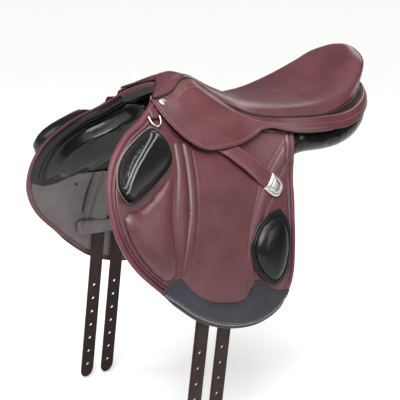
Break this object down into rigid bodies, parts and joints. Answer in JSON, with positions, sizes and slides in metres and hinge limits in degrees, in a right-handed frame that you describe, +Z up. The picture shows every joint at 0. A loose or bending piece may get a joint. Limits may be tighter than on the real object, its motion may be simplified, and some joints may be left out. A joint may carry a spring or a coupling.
{
  "type": "english saddle",
  "caption": "English jumping saddle with long forward flaps, external knee and calf blocks, deep seat, stirrup bars and hanging girth straps.",
  "frame": {"origin": "in the gullet channel between the panels, level with the horse's back", "axes": "+X to the horse's left (near) side, -Y to the front (pommel), +Z up"},
  "size_m": [0.4056, 0.5662, 0.5978],
  "materials": {
    "burgundy_leather": "satin",
    "black_leather": "gloss",
    "strap_leather": "satin",
    "slate_leather": "satin",
    "grey_lining": "matte",
    "foam": "matte",
    "tree_laminate": "matte",
    "webbing": "matte",
    "steel": "polished"
  },
  "bodies": {
    "root": {"cantle_band": "burgundy_leather", "dee_chape_left": "burgundy_leather", "dee_chape_right": "burgundy_leather", "flap_upper_left": "burgundy_leather", "flap_upper_right": "burgundy_leather", "girth_web_left": "webbing", "girth_web_right": "webbing", "head_plate": "steel", "keeper_strap_left": "burgundy_leather", "keeper_strap_right": "burgundy_leather", "keeper_tip_left": "steel", "keeper_tip_right": "steel", "knee_block_left": "black_leather", "knee_block_right": "black_leather", "panel_left": "black_leather", "panel_right": "black_leather", "pommel_facing": "burgundy_leather", "saddle_nail_left": "steel", "saddle_nail_right": "steel", "seat_cover": "burgundy_leather", "seat_foam": "foam", "skirt_band_left": "burgundy_leather", "skirt_band_right": "burgundy_leather", "stirrup_bar_left": "steel", "stirrup_bar_right": "steel", "tree": "tree_laminate"},
    "catch_left": {"bar_catch_left": "steel"},
    "catch_right": {"bar_catch_right": "steel"},
    "flap_left": {"calf_block_left": "black_leather", "flap_lining_left": "grey_lining", "flap_lower_left": "burgundy_leather", "flap_patch_left": "slate_leather", "knee_pad_left": "burgundy_leather", "strap_guide_left": "grey_lining", "strap_top_front_left": "strap_leather", "strap_top_rear_left": "strap_leather"},
    "flap_right": {"calf_block_right": "black_leather", "flap_lining_right": "grey_lining", "flap_lower_right": "burgundy_leather", "flap_patch_right": "slate_leather", "knee_pad_right": "burgundy_leather", "strap_guide_right": "grey_lining", "strap_top_front_right": "strap_leather", "strap_top_rear_right": "strap_leather"},
    "dee_left": {"dee_ring_left": "steel"},
    "dee_right": {"dee_ring_right": "steel"},
    "strap_front_left": {"girth_strap_front_left": "strap_leather"},
    "strap_front_right": {"girth_strap_front_right": "strap_leather"},
    "strap_rear_left": {"girth_strap_rear_left": "strap_leather"},
    "strap_rear_right": {"girth_strap_rear_right": "strap_leather"},
    "skirt_left": {"skirt_lobe_left": "burgundy_leather"},
    "skirt_right": {"skirt_lobe_right": "burgundy_leather"}
  },
  "joints": [
    {"name": "flap_fold_left", "type": "hinge", "parent": "root", "child": "flap_left", "pos_m": [0.15626, -0.15, -0.0545], "axis": [0, -1, 0], "range_deg": [0, 30]},
    {"name": "skirt_lift_left", "type": "hinge", "parent": "root", "child": "skirt_left", "pos_m": [0.08662, -0.111, 0.079], "axis": [-0.2098, -0.9519, 0.2233], "range_deg": [0, 70]},
    {"name": "strap_front_swing_left", "type": "hinge", "parent": "flap_left", "child": "strap_front_left", "pos_m": [0.17533, -0.173, -0.168], "axis": [0, 1, 0], "range_deg": [-2, 35]},
    {"name": "strap_rear_swing_left", "type": "hinge", "parent": "flap_left", "child": "strap_rear_left", "pos_m": [0.17533, -0.132, -0.168], "axis": [0, 1, 0], "range_deg": [-2, 35]},
    {"name": "dee_swing_left", "type": "hinge", "parent": "root", "child": "dee_left", "pos_m": [0.07235, -0.199, 0.084], "axis": [0, -1, 0], "range_deg": [0, 80]},
    {"name": "bar_catch_turn_left", "type": "hinge", "parent": "root", "child": "catch_left", "pos_m": [0.09617, -0.0795, 0.058], "axis": [0.7893, 0, 0.614], "range_deg": [0, 80]},
    {"name": "flap_fold_right", "type": "hinge", "parent": "root", "child": "flap_right", "pos_m": [-0.15626, -0.15, -0.0545], "axis": [0, 1, 0], "range_deg": [0, 30]},
    {"name": "skirt_lift_right", "type": "hinge", "parent": "root", "child": "skirt_right", "pos_m": [-0.08662, -0.111, 0.079], "axis": [-0.2098, 0.9519, -0.2233], "range_deg": [0, 70]},
    {"name": "strap_front_swing_right", "type": "hinge", "parent": "flap_right", "child": "strap_front_right", "pos_m": [-0.17533, -0.173, -0.168], "axis": [0, -1, 0], "range_deg": [-2, 35]},
    {"name": "strap_rear_swing_right", "type": "hinge", "parent": "flap_right", "child": "strap_rear_right", "pos_m": [-0.17533, -0.132, -0.168], "axis": [0, -1, 0], "range_deg": [-2, 35]},
    {"name": "dee_swing_right", "type": "hinge", "parent": "root", "child": "dee_right", "pos_m": [-0.07235, -0.199, 0.084], "axis": [0, 1, 0], "range_deg": [0, 80]},
    {"name": "bar_catch_turn_right", "type": "hinge", "parent": "root", "child": "catch_right", "pos_m": [-0.09617, -0.0795, 0.058], "axis": [0.7893, 0, -0.614], "range_deg": [0, 80]}
  ]
}
